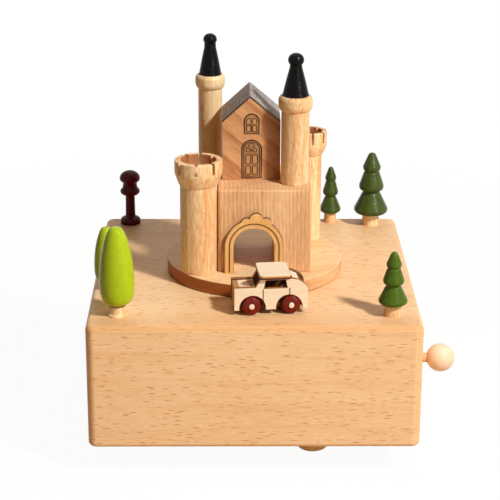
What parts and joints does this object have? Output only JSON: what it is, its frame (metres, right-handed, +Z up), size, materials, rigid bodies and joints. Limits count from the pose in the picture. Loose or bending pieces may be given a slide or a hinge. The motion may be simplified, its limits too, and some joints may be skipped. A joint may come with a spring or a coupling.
{
  "type": "music box",
  "caption": "Square wooden music box with a turning castle on a disc, a magnet-drawn toy car, turned trees, a pull knob at the side and a winding knob below.",
  "frame": {"origin": "middle of the overall footprint, on the table under the feet", "axes": "+Z up, -Y is the front that shows the gate, +X is the side with the stop knob"},
  "size_m": [0.1284, 0.115, 0.1401],
  "materials": {
    "beech_box": "oiled, even beech with short dark flecks",
    "pale_beech": "bare sanded",
    "turned_beech": "bare turned",
    "gate_wood": "bare, upright grain",
    "house_wood": "bare, slanting grain",
    "arch_ply": "laser cut, toasted edges",
    "roof_grey": "thin grey stain, dark edges",
    "cap_black": "glossy black paint",
    "fir_green": "glossy dark green paint",
    "leaf_green": "glossy yellow-green paint",
    "dark_red": "glossy dark red lacquer",
    "wheel_red": "glossy red-brown lacquer",
    "car_wood": "bare laser-cut wood, toasted edges",
    "bead_wood": "smooth bare bead",
    "rubber_feet": "matte",
    "plywood": "bare plywood",
    "zinc": "die cast",
    "steel": "bright",
    "brass": "turned",
    "nylon": "moulded",
    "magnet": "nickel plated"
  },
  "bodies": {
    "root": {"base_box": "beech_box", "bottom_plate": "plywood", "bottom_screw_1": "steel", "bottom_screw_2": "steel", "bottom_screw_3": "steel", "bottom_screw_4": "steel", "foot_1": "rubber_feet", "foot_2": "rubber_feet", "foot_3": "rubber_feet", "foot_4": "rubber_feet", "fir_front_right_trunk": "turned_beech", "fir_front_right_crown": "fir_green", "fir_back_right_trunk": "turned_beech", "fir_back_right_crown": "fir_green", "fir_back_middle_trunk": "turned_beech", "fir_back_middle_crown": "fir_green", "leaf_tree_front_trunk": "turned_beech", "leaf_tree_front_crown": "leaf_green", "leaf_tree_rear_trunk": "turned_beech", "leaf_tree_rear_crown": "leaf_green", "lamp_post": "dark_red", "bedplate": "zinc", "spring_barrel": "brass", "mainspring": "steel", "comb": "steel", "governor_frame": "zinc", "spindle_bush": "brass"},
    "turntable": {"spindle": "steel", "spindle_gear": "nylon", "magnet_arm": "plywood", "arm_magnet": "magnet", "turntable_disc": "pale_beech", "gate_block": "gate_wood", "arch_frame": "arch_ply", "tower_front_left": "turned_beech", "tower_rear_right": "turned_beech", "tower_rear_left": "turned_beech", "tower_front_right": "turned_beech", "cap_rear_left": "cap_black", "cap_front_right": "cap_black", "house": "house_wood", "roof": "roof_grey"},
    "car": {"car_body": "car_wood", "car_side_left": "car_wood", "car_side_right": "car_wood", "car_roof": "car_wood"},
    "front_wheels": {"axle_front": "pale_beech", "wheel_front_left": "wheel_red", "wheel_front_right": "wheel_red"},
    "rear_wheels": {"axle_rear": "pale_beech", "wheel_rear_left": "wheel_red", "wheel_rear_right": "wheel_red"},
    "winder": {"key_shaft": "steel", "winding_knob": "bead_wood", "drive_gear": "nylon"},
    "cylinder": {"pin_cylinder": "brass"},
    "governor": {"governor_worm": "nylon"},
    "stop": {"stop_rod": "pale_beech", "stop_knob": "bead_wood"}
  },
  "joints": [
    {"name": "turntable_spin", "type": "hinge", "parent": "root", "child": "turntable", "pos_m": [-0.0061, 0.001, 0.0566], "axis": [0, 0, -1], "continuous": true},
    {"name": "car_orbit", "type": "hinge", "parent": "root", "child": "car", "pos_m": [-0.0061, 0.001, 0.0566], "axis": [0, 0, -1], "continuous": true},
    {"name": "front_wheels_roll", "type": "hinge", "parent": "car", "child": "front_wheels", "pos_m": [-0.00836, -0.04119, 0.05977], "axis": [0.108, -0.9942, 0], "continuous": true},
    {"name": "rear_wheels_roll", "type": "hinge", "parent": "car", "child": "rear_wheels", "pos_m": [0.00526, -0.03971, 0.05977], "axis": [0.108, -0.9942, 0], "continuous": true},
    {"name": "winder_spin", "type": "hinge", "parent": "root", "child": "winder", "pos_m": [0.0145, -0.035, 0.005], "axis": [0, 0, -1], "continuous": true},
    {"name": "cylinder_spin", "type": "hinge", "parent": "root", "child": "cylinder", "pos_m": [0.0145, -0.0135, 0.0255], "axis": [1, 0, 0], "continuous": true},
    {"name": "governor_spin", "type": "hinge", "parent": "root", "child": "governor", "pos_m": [0.0333, -0.035, 0.026], "axis": [0, 0, -1], "continuous": true},
    {"name": "stop_slide", "type": "slide", "parent": "root", "child": "stop", "axis": [1, 0, 0], "range_m": [-0.003, 0]}
  ],
  "couplings": [
    {"joint": "car_orbit", "follows": "turntable_spin", "ratio": 1},
    {"joint": "front_wheels_roll", "follows": "turntable_spin", "ratio": 12.087},
    {"joint": "rear_wheels_roll", "follows": "turntable_spin", "ratio": 12.087},
    {"joint": "winder_spin", "follows": "turntable_spin", "ratio": -2.4583},
    {"joint": "cylinder_spin", "follows": "turntable_spin", "ratio": 2},
    {"joint": "governor_spin", "follows": "turntable_spin", "ratio": 36}
  ]
}
